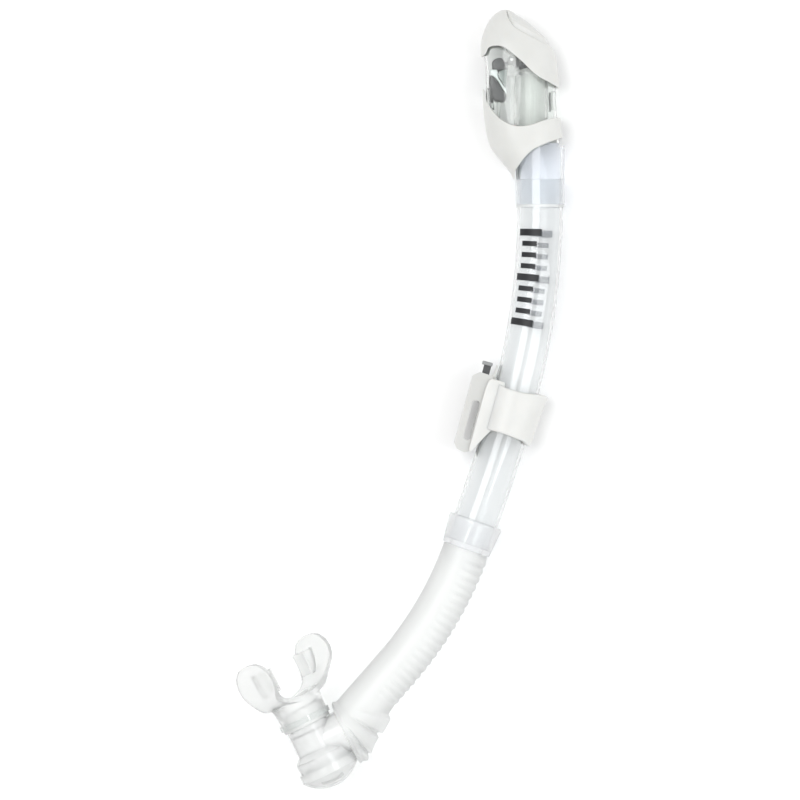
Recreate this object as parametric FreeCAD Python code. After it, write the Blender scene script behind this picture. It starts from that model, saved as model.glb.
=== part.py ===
import FreeCAD, Part
import math
import os

# Dry-top snorkel: valve head, curved barrel, sliding strap keeper, flexible
# hose with a bellows elbow, purge chamber and mouthpiece.
#
# Every piece is drawn in the tube plane: x to the right, y up along the tube,
# z out of the plane.  At the end the whole object is turned and lifted by one
# fixed rigid move, so that it lies on the floor (z = 0) on its head, its
# keeper and one mouthpiece lobe, with its long side along +Y.

V = FreeCAD.Vector

# ------------------------------------------------------------------ dimensions
# lie of the whole object on the floor
LIE_TURN_X = 0.66380        # degrees about x
LIE_TURN_Y = 7.67050        # degrees about y, after the turn about x
LIE_SHIFT = (-0.7501, -0.5242, 24.0932)

# barrel
BARREL_R = 12.5             # outer radius
BARREL_WALL = 1.6
TOP_X, TOP_Y = 77.1, 106.7  # where the straight top of the barrel ends
BARREL_TOP_Y = 121.0
R1, T1 = 399.0, 13.6        # upper arc: radius, tilt at its end
R2, T2 = 700.0, 19.5        # lower arc, the keeper's track
STRAIGHT_L = 27.4           # straight run through the hose connector
BARREL_IN = 24.0            # barrel end, measured along that run
R3, T3 = 200.0, 41.0        # hose arc

# head
SOCKET_R = 13.4
SOCKET_BORE = 12.55
SOCKET_PASS = 11.4
SOCKET_Y0 = 107.3
FLOOR_Y = 141.0
HOOD_T = 1.6
GAP_T = 1.75
CHAMBER_T = 1.25
PIPE_X, PIPE_R, PIPE_WALL = 72.05, 9.35, 1.4
SEAT_Y = 180.0
PIVOT_X, PIVOT_Y = 61.3, 186.6
FLOAT_X0, FLOAT_X1 = 49.5, 58.7
FLOAT_Y0, FLOAT_Y1 = 163.6, 181.8
GUIDE_X = 54.2
FLAP_OPEN = 25.0            # degrees the flap stands open at rest

# keeper (local frame: x up along the barrel, y to the clip side, z out)
KEEP_T = 15.3               # tilt of the barrel at the keeper
SLEEVE_BORE = 12.58
SLEEVE_R = 15.6
SLEEVE_UP, SLEEVE_DN = 13.6, 14.0

# purge chamber (local frame: x out of the drain, y to the hose port, z out)
CH_X, CH_Y = -45.1, -190.3
CH_TILT = 26.0
PORT_N = -1.2

# mouthpiece (local frame: x lobe to lobe, y lobe height, z towards the mouth)
MP_ROLL = 45.0

os.makedirs("parts", exist_ok=True)


# ------------------------------------------------------------------ helpers
def rad(a):
    return math.radians(a)


def frame(origin, ex, ey, ez):
    m = FreeCAD.Matrix()
    m.A11, m.A21, m.A31 = ex
    m.A12, m.A22, m.A32 = ey
    m.A13, m.A23, m.A33 = ez
    m.A14, m.A24, m.A34 = origin
    return FreeCAD.Placement(m)


def put(shape, pl):
    s = shape.copy()
    s.Placement = pl.multiply(s.Placement)
    return s


def cyl(r, p0, p1):
    p0, p1 = V(*p0), V(*p1)
    d = p1.sub(p0)
    return Part.makeCylinder(r, d.Length, p0, d)


def tube(ro, ri, p0, p1):
    p0v, p1v = V(*p0), V(*p1)
    d = p1v.sub(p0v)
    u = V(d).normalize()
    inner = Part.makeCylinder(ri, d.Length + 2.0, p0v.sub(u), d)
    return Part.makeCylinder(ro, d.Length, p0v, d).cut(inner)


def box(x0, x1, y0, y1, z0, z1):
    return Part.makeBox(x1 - x0, y1 - y0, z1 - z0, V(x0, y0, z0))


def spline(points, periodic=False):
    c = Part.BSplineCurve()
    c.interpolate([V(*p) for p in points], PeriodicFlag=periodic)
    return c.toShape()


def rounded(shape, r, pick):
    edges = [e for e in shape.Edges if pick(e)]
    return shape.makeFillet(r, edges) if edges else shape


def circle_wire(centre, normal, r):
    return Part.Wire([Part.Circle(V(*centre), V(*normal), r).toShape()])


def arc3(a, b, c):
    return Part.Arc(V(*a), V(*b), V(*c)).toShape()


def revolve_profile(points, origin, axis):
    """points are (along, radius) pairs of a closed outline about the axis."""
    face = Part.Face(Part.makePolygon([V(a, r, 0) for a, r in points] + [V(points[0][0], points[0][1], 0)]))
    solid = face.revolve(V(0, 0, 0), V(1, 0, 0), 360)
    ax = V(*axis).normalize()
    rot = FreeCAD.Rotation(V(1, 0, 0), ax)
    s = solid.copy()
    s.Placement = FreeCAD.Placement(V(*origin), rot)
    return s


# ------------------------------------------------------------------ tube path
def tilt_dir(t):
    return (-math.sin(rad(t)), -math.cos(rad(t)))


def arc_point(cx, cy, r, t):
    """Point of an arc whose centre lies on the concave side, at tilt t."""
    return (cx + r * math.cos(rad(t)), cy - r * math.sin(rad(t)))


C1 = (TOP_X - R1, TOP_Y)
P1 = arc_point(C1[0], C1[1], R1, T1)
C2 = (P1[0] - R2 * math.cos(rad(T1)), P1[1] + R2 * math.sin(rad(T1)))
P2 = arc_point(C2[0], C2[1], R2, T2)
D2 = tilt_dir(T2)


def on_straight(s):
    return (P2[0] + D2[0] * s, P2[1] + D2[1] * s)


P3 = on_straight(STRAIGHT_L)
C3 = (P3[0] - R3 * math.cos(rad(T2)), P3[1] + R3 * math.sin(rad(T2)))
P4 = arc_point(C3[0], C3[1], R3, T3)
D4 = tilt_dir(T3)
HOSE_S = 36.0               # straight run after the hose arc
P5 = (P4[0] + D4[0] * HOSE_S, P4[1] + D4[1] * HOSE_S)


def p3d(p):
    return (p[0], p[1], 0.0)


def barrel_wire(y_top, s_end):
    top = (TOP_X, y_top)
    e = []
    e.append(Part.LineSegment(V(*p3d(top)), V(TOP_X, TOP_Y, 0)).toShape())
    e.append(arc3((TOP_X, TOP_Y, 0), p3d(arc_point(C1[0], C1[1], R1, T1 / 2)), p3d(P1)))
    e.append(arc3(p3d(P1), p3d(arc_point(C2[0], C2[1], R2, (T1 + T2) / 2)), p3d(P2)))
    e.append(Part.LineSegment(V(*p3d(P2)), V(*p3d(on_straight(s_end)))).toShape())
    return Part.Wire(e)


def pipe(wire, r, start, direction):
    prof = circle_wire(start, direction, r)
    return wire.makePipeShell([prof], True, False)


# ------------------------------------------------------------------ head shell
HEAD = [  # y, left, right, half depth
    (121.0, 62.7, 91.5, 14.4), (125.4, 60.2, 91.4, 14.6), (132.0, 55.0, 90.8, 15.0),
    (138.6, 50.0, 90.0, 15.6), (145.2, 47.8, 89.2, 16.2), (151.8, 46.8, 88.5, 16.6),
    (158.4, 46.0, 88.0, 16.8), (165.0, 45.6, 87.7, 16.9), (171.6, 45.5, 87.6, 16.9),
    (178.0, 45.5, 87.2, 16.8), (185.0, 45.2, 86.4, 16.4), (191.4, 44.4, 84.8, 15.8),
    (198.0, 44.8, 81.3, 14.6), (204.6, 46.9, 75.6, 12.4), (208.4, 48.9, 71.6, 10.4),
    (211.4, 51.3, 67.6, 7.8), (213.6, 54.0, 64.0, 5.0), (214.8, 56.3, 61.0, 2.4)]


def head_solid(t, y0, y1):
    """The head's outer form shrunk by t on every side, between two heights."""
    wires = []
    for y, xl, xr, b in HEAD:
        a = (xr - xl) / 2 - t
        bb = b - t
        if a < 1.2 or bb < 1.0:
            continue
        cx = (xl + xr) / 2
        yy = y if y < 195 else y - t * (y - 195) / 20.0
        pts = []
        n = 28
        for i in range(n):
            th = 2 * math.pi * i / n
            c, s = math.cos(th), math.sin(th)
            ex = 2 / 2.25
            pts.append((cx + a * math.copysign(abs(c) ** ex, c), yy, bb * math.copysign(abs(s) ** ex, s)))
        wires.append(Part.Wire([spline(pts, True)]))
    solid = Part.makeLoft(wires, True, False)
    return solid.common(box(30, 110, y0, y1, -30, 30))


def prism(points, z=30.0):
    """Region in the tube plane bounded by a spline below and straight lines."""
    curve, rest = points
    e = [spline([(x, y, -z) for x, y in curve])]
    pl = [curve[-1]] + list(rest) + [curve[0]]
    for a, b in zip(pl[:-1], pl[1:]):
        e.append(Part.LineSegment(V(a[0], a[1], -z), V(b[0], b[1], -z)).toShape())
    return Part.Face(Part.Wire(e)).extrude(V(0, 0, 2 * z))


HOOD_EDGE = [(38.0, 186.0), (46.2, 189.2), (48.8, 193.2), (53.5, 194.0), (57.4, 192.7), (61.4, 189.6),
             (66.7, 185.2), (74.6, 177.8), (82.5, 173.6), (88.5, 170.6), (96.0, 167.0)]
COLLAR_TOP = [(38.0, 178.0), (46.0, 170.8), (48.0, 163.0), (54.6, 154.3), (63.2, 150.2), (71.5, 150.7),
              (79.8, 153.6), (88.0, 155.4), (96.0, 156.6)]
COLLAR_LOW = [(62.0, 118.0), (62.5, 122.4), (64.6, 127.8), (71.5, 136.0), (79.8, 140.4), (89.0, 143.8),
              (98.0, 146.6)]

PARTS = {}


def build_head():
    outer = head_solid(0.0, 118, 216)
    inner = head_solid(HOOD_T, 117, 215)
    shell = outer.cut(inner)
    above_hood = prism((HOOD_EDGE, [(96, 230), (38, 230)]))
    hood = shell.common(above_hood)
    below_u = prism((COLLAR_TOP, [(96, 100), (38, 100)]))
    above_low = prism((COLLAR_LOW, [(98, 230), (30, 230), (30, 118)]))
    collar = shell.common(below_u).common(above_low)
    collar = collar.cut(cyl(SOCKET_R + 0.05, (TOP_X, 100, 0), (TOP_X, FLOOR_Y - 1.8, 0)))
    PARTS["top_hood"] = hood
    PARTS["lower_collar"] = collar

    # clear valve chamber, open at the bottom onto the socket's flange
    ch = head_solid(GAP_T, FLOOR_Y, 195.5).cut(head_solid(GAP_T + CHAMBER_T, FLOOR_Y - 1, 196))
    # air windows on the barrel side, and water ports by the float
    for z in (-6.2, 0.0, 6.2):
        w = box(78, 92, 159, 169.5, z - 1.6, z + 1.6)
        ch = ch.cut(w)
    for z in (-6.5, 6.5):
        ch = ch.cut(box(40, 53, 160, 171, z - 1.8, z + 1.8))
    PARTS["valve_chamber"] = ch

    # socket: sleeve over the barrel top, with an oval flange that closes the head
    sock = cyl(SOCKET_R, (TOP_X, SOCKET_Y0, 0), (TOP_X, FLOOR_Y - 1.5, 0))
    flange = head_solid(HOOD_T + 0.05, FLOOR_Y - 1.7, FLOOR_Y)
    sock = sock.fuse(flange)
    sock = sock.cut(cyl(SOCKET_PASS, (TOP_X, 100, 0), (TOP_X, FLOOR_Y + 2, 0)))
    sock = sock.cut(cyl(SOCKET_BORE, (TOP_X, 100, 0), (TOP_X, BARREL_TOP_Y + 0.05, 0)))
    PARTS["head_socket"] = sock.removeSplitter()
    PARTS["head_o_ring"] = tube(13.2, BARREL_R + 0.02, (TOP_X, 105.9, 0), (TOP_X, SOCKET_Y0 - 0.02, 0))

    # air pipe with its base, seat, pivot lugs and the float's guide pin
    base = head_solid(GAP_T + CHAMBER_T + 0.05, FLOOR_Y + 0.02, FLOOR_Y + 1.8)
    pipe_s = cyl(PIPE_R, (PIPE_X, FLOOR_Y + 0.02, 0), (PIPE_X, SEAT_Y, 0))
    seat = cyl(PIPE_R, (PIPE_X, SEAT_Y - 2.0, 0), (PIPE_X, SEAT_Y, 0))
    lug_plate = box(PIVOT_X - 1.0, PIPE_X, SEAT_Y - 2.0, SEAT_Y, -8.6, 8.6)
    lugs = []
    for z0, z1 in ((-8.6, -6.8), (6.8, 8.6)):
        lug = box(PIVOT_X - 1.8, PIVOT_X + 2.4, SEAT_Y - 2.0, PIVOT_Y + 2.0, z0, z1)
        lugs.append(lug)
    guide = cyl(0.9, (GUIDE_X, FLOOR_Y + 1.0, 0), (GUIDE_X, 177.6, 0))
    post = box(60.6, 63.4, FLOOR_Y + 1.0, SEAT_Y - 1.0, -1.0, 1.0)
    body = base.fuse([pipe_s, seat, lug_plate, guide, post] + lugs)
    body = body.cut(cyl(PIPE_R - PIPE_WALL, (PIPE_X, FLOOR_Y - 3, 0), (PIPE_X, SEAT_Y + 3, 0)))
    body = body.cut(cyl(0.82, (PIVOT_X, PIVOT_Y, -12), (PIVOT_X, PIVOT_Y, 12)))
    PARTS["inlet_tube"] = body.removeSplitter()
    PARTS["lever_pin"] = cyl(0.8, (PIVOT_X, PIVOT_Y, -9.0), (PIVOT_X, PIVOT_Y, 9.0))

    # float: rounded block that rides up the guide pin
    fl = box(FLOAT_X0, FLOAT_X1, FLOAT_Y0, FLOAT_Y1, -7.2, 7.2)
    fl = rounded(fl, 3.2, lambda e: abs(e.BoundBox.ZLength) < 0.01 and abs(e.BoundBox.XLength) < 0.01)
    fl = rounded(fl, 2.6, lambda e: e.BoundBox.YMax < FLOAT_Y0 + 0.01)
    fl = fl.cut(cyl(1.25, (GUIDE_X, FLOAT_Y0 - 1, 0), (GUIDE_X, FLOAT_Y1 - 4.0, 0)))
    # two ears stand up beside the lever's tail
    ear = [(50.8, 181.0), (51.0, 185.8), (53.8, 187.8), (56.8, 187.2), (58.4, 182.6), (58.4, 181.0)]
    for z0 in (3.4, -6.6):
        f = Part.Face(Part.makePolygon([V(x, y, z0) for x, y in ear] + [V(ear[0][0], ear[0][1], z0)]))
        fl = fl.fuse(f.extrude(V(0, 0, 3.2)))
    fl = fl.removeSplitter()
    PARTS["float_block"] = fl

    # lever with its arm over the float, and the flap disc it carries.  Drawn
    # closed on the seat, then turned open about the pivot.
    hub = cyl(2.1, (PIVOT_X, PIVOT_Y, -6.4), (PIVOT_X, PIVOT_Y, 6.4))
    arm = box(PIVOT_X, PIPE_X + 3.0, SEAT_Y + 1.75, SEAT_Y + 3.4, -3.0, 3.0)
    web = box(PIVOT_X - 0.3, PIVOT_X + 3.6, SEAT_Y + 1.75, PIVOT_Y + 0.5, -3.0, 3.0)
    plate = cyl(7.4, (PIPE_X, SEAT_Y + 1.55, 0), (PIPE_X, SEAT_Y + 2.6, 0))
    lever = hub.fuse([arm, web, plate])
    stud = cyl(1.2, (PIPE_X, SEAT_Y + 1.0, 0), (PIPE_X, SEAT_Y + 2.0, 0))
    lever = lever.fuse(stud)
    disc = cyl(8.8, (PIPE_X, SEAT_Y + 0.12, 0), (PIPE_X, SEAT_Y + 1.52, 0))
    disc = disc.cut(cyl(1.22, (PIPE_X, SEAT_Y + 0.95, 0), (PIPE_X, SEAT_Y + 3, 0)))
    opened = FreeCAD.Placement(V(0, 0, 0), FreeCAD.Rotation(V(0, 0, 1), FLAP_OPEN), V(PIVOT_X, PIVOT_Y, 0))
    lever = put(lever, opened)
    tail = box(PIVOT_X - 8.6, PIVOT_X, PIVOT_Y - 1.9, PIVOT_Y - 0.5, -2.6, 2.6)
    tail = put(tail, FreeCAD.Placement(V(0, 0, 0), FreeCAD.Rotation(V(0, 0, 1), 8.0), V(PIVOT_X, PIVOT_Y, 0)))
    lever = lever.fuse(tail).cut(cyl(0.86, (PIVOT_X, PIVOT_Y, -12), (PIVOT_X, PIVOT_Y, 12)))
    PARTS["float_lever"] = lever.removeSplitter()
    PARTS["seal_flap"] = put(disc, opened)


# ------------------------------------------------------------------ barrel
def build_barrel():
    w = barrel_wire(BARREL_TOP_Y, BARREL_IN)
    start = (TOP_X, BARREL_TOP_Y, 0)
    outer = pipe(w, BARREL_R, start, (0, -1, 0))
    inner = pipe(w, BARREL_R - BARREL_WALL, start, (0, -1, 0))
    PARTS["barrel"] = outer.cut(inner)

    # scale of keeper heights: thin curved bars just outside the barrel, on the
    # front, following the upper arc
    marks = []
    for i in range(9):
        t = 2.15 + 0.9 * i
        long_bar = (i % 4 == 0)
        q0, q1 = (-0.9, 10.8) if long_bar else (1.6, 9.4)
        hw = 1.9 if long_bar else 1.4
        c = arc_point(C1[0], C1[1], R1, t)
        d = tilt_dir(t)
        q = (d[1], -d[0])
        ring = tube(BARREL_R + 0.16, BARREL_R + 0.01, (c[0] - d[0] * hw, c[1] - d[1] * hw, 0),
                    (c[0] + d[0] * hw, c[1] + d[1] * hw, 0))
        cutter = box(q0, q1, -3, 3, 4, 16)
        pl = frame((c[0], c[1], 0), (q[0], q[1], 0), (-d[0], -d[1], 0), (0, 0, 1))
        marks.append(ring.common(put(cutter, pl)))
    PARTS["height_marks"] = Part.makeCompound([s for m in marks for s in m.Solids])


# ------------------------------------------------------------------ keeper
KC = arc_point(C2[0], C2[1], R2, KEEP_T)
KD = tilt_dir(KEEP_T)
KEEPER = frame((KC[0], KC[1], 0), (-KD[0], -KD[1], 0), (KD[1], -KD[0], 0), (0, 0, 1))


def keeper_arc(r, x_lo, x_hi):
    """Curved cylinder on the keeper's own arc, in the tube plane frame."""
    t_lo = KEEP_T - math.degrees(x_hi / R2)
    t_hi = KEEP_T - math.degrees(x_lo / R2)
    a, b = arc_point(C2[0], C2[1], R2, t_lo), arc_point(C2[0], C2[1], R2, t_hi)
    mid = arc_point(C2[0], C2[1], R2, (t_lo + t_hi) / 2)
    w = Part.Wire([arc3(p3d(a), p3d(mid), p3d(b))])
    d = tilt_dir(t_lo)
    return pipe(w, r, p3d(a), (d[0], d[1], 0))


def build_keeper():
    k = lambda s: put(s, KEEPER)
    sleeve = keeper_arc(SLEEVE_R, -SLEEVE_DN, SLEEVE_UP)
    # the band stands further out on the far side of the barrel, more so at the top
    flare = Part.makeLoft([circle_wire((-SLEEVE_DN, 0.3, 0), (1, 0, 0), 15.6),
                           circle_wire((SLEEVE_UP, -1.2, 0), (1, 0, 0), 16.5)], True, False)
    sleeve = sleeve.fuse(k(flare.common(box(-30, 30, -30, 0, -12.5, 12.5))))
    # flat land and rail for the clip, and the raised boss at the top
    sleeve = sleeve.cut(k(box(-30, 30, 13.9, 30, -9.4, 9.4)))
    # bracket that follows the clip down, and the boss that carries the tab
    boss = k(box(SLEEVE_UP - 2, 18.8, 0, 15.2, -5.0, 5.0)).common(keeper_arc(SLEEVE_R, 0, 22))
    rail = k(box(-12.0, 9.4, 13.0, 16.2, -5.0, 5.0))
    for z0, z1 in ((-6.0, -3.7), (3.7, 6.0)):
        rail = rail.cut(k(box(-20, 20, 14.4, 15.4, z0, z1)))
    sleeve = sleeve.fuse([boss, rail])
    # a cheek on each side of the clip, drawn out into a fin at its lower end
    cheek = [(15.6, 8.0), (15.6, 14.6), (13.4, 16.4), (7.0, 17.0), (-24.6, 17.0), (-26.4, 15.8), (-11.7, 7.9)]
    for z0 in (9.35, -10.95):
        f = Part.Face(Part.makePolygon([V(x, y, z0) for x, y in cheek] + [V(cheek[0][0], cheek[0][1], z0)]))
        sleeve = sleeve.fuse(k(f.extrude(V(0, 0, 1.6))))
    sleeve = sleeve.cut(keeper_arc(SLEEVE_BORE, -30, 30))
    # slanted lower end: longer at the back than on the clip side
    slant = put(box(-20, 0, -20, 30, -20, 20),
                FreeCAD.Placement(V(-SLEEVE_DN, -16.0, 0), FreeCAD.Rotation(V(0, 0, 1), -6.0)))
    sleeve = sleeve.cut(k(slant))
    PARTS["keeper_sleeve"] = sleeve.removeSplitter()
    tab = k(box(15.6, 23.4, 13.3, 14.5, -2.4, 2.4))
    sl = PARTS["keeper_sleeve"].cut(k(box(15.5, 24, 13.27, 14.53, -2.45, 2.45)))
    PARTS["keeper_sleeve"] = sl
    PARTS["latch_tab"] = tab

    # strap clip
    pts = [(17.0, 14.3), (17.4, 22.2), (14.6, 25.5), (-23.6, 25.6), (-26.6, 23.4), (-27.4, 19.0),
           (-25.8, 15.6), (-13.0, 14.1)]
    face = Part.Face(Part.makePolygon([V(x, y, -9.0) for x, y in pts] + [V(pts[0][0], pts[0][1], -9.0)]))
    clip = face.extrude(V(0, 0, 18.0))
    clip = rounded(clip, 1.6, lambda e: e.BoundBox.ZLength > 17 and e.BoundBox.YMin > 17)
    # channel that takes the rail, with a tongue down each side
    clip = clip.cut(box(-14.2, 30, 10, 16.4, -5.3, 5.3))
    for z0, z1 in ((-5.6, -3.9), (3.9, 5.6)):
        tongue = box(-12.0, 9.4, 14.5, 15.3, z0, z1)
        clip = clip.fuse(tongue)
    # slot for the mask strap
    slot = box(-20.4, 1.8, 17.7, 21.9, -12, 12)
    slot = rounded(slot, 1.9, lambda e: e.BoundBox.ZLength > 20)
    clip = clip.cut(slot)
    # pocket for the button and its spring
    clip = clip.cut(box(12.9, 20, 16.75, 21.15, -3.7, 3.7))
    clip = clip.cut(cyl(1.95, (4.2, 18.95, 0), (14, 18.95, 0)))
    PARTS["strap_clip"] = k(clip.removeSplitter())

    cap = box(21.9, 24.0, 16.5, 22.3, -4.6, 4.6)
    cap = rounded(cap, 0.6, lambda e: e.BoundBox.XMin > 23.9)
    PARTS["release_button"] = k(cap)
    plunger = box(15.6, 21.88, 16.95, 20.95, -3.5, 3.5)
    plunger = plunger.fuse(cyl(0.8, (7.6, 18.95, 0), (16, 18.95, 0)))
    PARTS["button_plunger"] = k(plunger)
    # coil spring round the stem
    hel = Part.makeHelix(1.9, 10.6, 1.42)
    prof = Part.Wire([Part.Circle(V(1.42, 0, 0), V(0, 1, 0), 0.26).toShape()])
    coil = Part.Wire(hel).makePipeShell([prof], True, True)
    coil.Placement = FreeCAD.Placement(V(4.55, 18.95, 0), FreeCAD.Rotation(V(0, 0, 1), V(1, 0, 0)))
    PARTS["button_spring"] = k(coil)


# ------------------------------------------------------------------ hose
def build_hose():
    # clear connector: takes the barrel from above and carries the hose below
    top = 10.9
    prof = [(top, BARREL_R + 0.05), (top, 14.6), (top + 0.5, 15.0), (top + 1.6, 15.0), (STRAIGHT_L - 0.05, 13.5),
            (STRAIGHT_L - 0.05, 10.2), (STRAIGHT_L + 9.0, 10.1), (STRAIGHT_L + 9.0, 8.9), (BARREL_IN + 0.1, 9.1),
            (BARREL_IN + 0.1, BARREL_R + 0.05)]
    con = revolve_profile(prof, p3d(P2), (D2[0], D2[1], 0))
    PARTS["hose_connector"] = con

    def hose_solid(r0, r1, r2, extra, out):
        w = Part.Wire([arc3(p3d(P3), p3d(arc_point(C3[0], C3[1], R3, (T2 + T3) / 2)), p3d(P4)),
                       Part.LineSegment(V(*p3d(P4)), V(*p3d(P5))).toShape()])
        run = pipe(w, r0, p3d(P3), (D2[0], D2[1], 0))
        pd = (-math.cos(rad(CH_TILT)), -math.sin(rad(CH_TILT)))
        s2 = ch_point(PORT_N + out, 17.7)
        t1 = 52.5
        s1 = ((P5[0] + s2[0]) / 2 + 0.3 + 0.25 * out, (P5[1] + s2[1]) / 2 + 0.1 - 0.25 * out)
        wires = [circle_wire(p3d(P5), (D4[0], D4[1], 0), r0),
                 circle_wire(p3d(s1), (tilt_dir(t1)[0], tilt_dir(t1)[1], 0), r1),
                 circle_wire(p3d(s2), (pd[0], pd[1], 0), r2)]
        elbow = Part.makeLoft(wires, True, False)
        end = ch_point(PORT_N + out, 16.9 - extra)
        collar = Part.makeCylinder(r2, 0.8 + extra, V(*p3d(end)), V(-pd[0], -pd[1], 0))
        return run, elbow, collar

    o = hose_solid(12.7, 15.2, 17.6, 0.0, 1.3)
    i = hose_solid(10.9, 11.2, 11.6, 1.0, 0.0)
    outer = o[0].fuse([o[1], o[2]])
    hose = outer
    for c in i:
        hose = hose.cut(c)
    hose = hose.cut(put(cyl(11.53, (PORT_N, 15.0, 0), (PORT_N, 20.8, 0)), CHAMBER))
    PARTS["flex_hose"] = hose.removeSplitter()


# ------------------------------------------------------------------ chamber
NX, NY = math.sin(rad(CH_TILT)), -math.cos(rad(CH_TILT))   # out of the drain
PX, PY = math.cos(rad(CH_TILT)), math.sin(rad(CH_TILT))    # towards the hose
CHAMBER = frame((CH_X, CH_Y, 0), (NX, NY, 0), (PX, PY, 0), (0, 0, 1))


def ch_point(n, p):
    return (CH_X + NX * n + PX * p, CH_Y + NY * n + PY * p)


def build_chamber():
    c = lambda s: put(s, CHAMBER)
    outer = revolve_profile([(-23.0, 0), (-23.0, 10.6), (-22.4, 11.0), (-12.6, 11.0), (-12.6, 12.3), (1.6, 12.3),
                             (4.8, 15.4), (13.0, 15.4), (13.0, 0)], (0, 0, 0), (1, 0, 0))
    port = cyl(11.5, (PORT_N, 0, 0), (PORT_N, 20.6, 0))
    flange = cyl(12.0, (PORT_N, 12.6, 0), (PORT_N, 16.8, 0))
    solid = outer.fuse([port, flange])
    inner = revolve_profile([(-24.0, 0), (-24.0, 9.3), (-10.0, 9.3), (-9.0, 10.8), (2.3, 10.8), (5.5, 13.9),
                             (14.0, 13.9), (14.0, 0)], (0, 0, 0), (1, 0, 0))
    solid = solid.cut(inner).cut(cyl(10.0, (PORT_N, 0, 0), (PORT_N, 28.0, 0)))
    PARTS["purge_chamber"] = c(solid.removeSplitter())

    # spoked seat, drain disc and louvred cover
    seat = cyl(13.85, (8.6, 0, 0), (10.2, 0, 0))
    for i in range(4):
        a = rad(45 + 90 * i)
        hole = cyl(3.9, (8, 7.6 * math.cos(a), 7.6 * math.sin(a)), (11, 7.6 * math.cos(a), 7.6 * math.sin(a)))
        seat = seat.cut(hole)
    seat = seat.cut(cyl(1.35, (8, 0, 0), (11, 0, 0)))
    PARTS["purge_seat"] = c(seat)
    disc = cyl(12.4, (10.3, 0, 0), (11.2, 0, 0))
    disc = disc.fuse([cyl(1.28, (6.6, 0, 0), (10.5, 0, 0)), cyl(2.1, (5.9, 0, 0), (7.0, 0, 0))])
    PARTS["purge_valve"] = c(disc.removeSplitter())

    # cover: rim that slips over the chamber's drum, then a shallow dome
    rim0, rim1 = 10.9, 15.6
    def dome(r, depth, x0):
        big = (r * r + depth * depth) / (2 * depth)
        ball = Part.makeSphere(big, V(x0 + depth - big, 0, 0))
        return ball.common(cyl(r, (x0, 0, 0), (x0 + depth + 1, 0, 0)))
    outer = cyl(16.6, (rim0, 0, 0), (rim1, 0, 0)).fuse(dome(16.6, 8.2, rim1))
    inner = cyl(15.44, (rim0 - 1, 0, 0), (13.1, 0, 0)).fuse([cyl(14.9, (13.0, 0, 0), (rim1, 0, 0)),
                                                             dome(14.9, 6.8, rim1 - 0.01)])
    cover = outer.cut(inner)
    for y0 in (-11.6, -5.8, 0.0, 5.8, 11.6):
        half = math.sqrt(max(13.9 ** 2 - y0 ** 2, 0)) - 1.2
        cover = cover.cut(box(16.2, 30, -half, half, y0 - 1.3, y0 + 1.3))
    PARTS["purge_cover"] = c(cover.removeSplitter())


# ------------------------------------------------------------------ mouthpiece
CR, SR = math.cos(rad(MP_ROLL)), math.sin(rad(MP_ROLL))
MP = frame((CH_X, CH_Y, 0), (CR * PX, CR * PY, -SR), (-SR * PX, -SR * PY, -CR), (-NX, -NY, 0))


def ellipse_wire(a, b, z, n=24):
    return Part.Wire([spline([(a * math.cos(2 * math.pi * i / n), b * math.sin(2 * math.pi * i / n), z)
                              for i in range(n)], True)])


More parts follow.
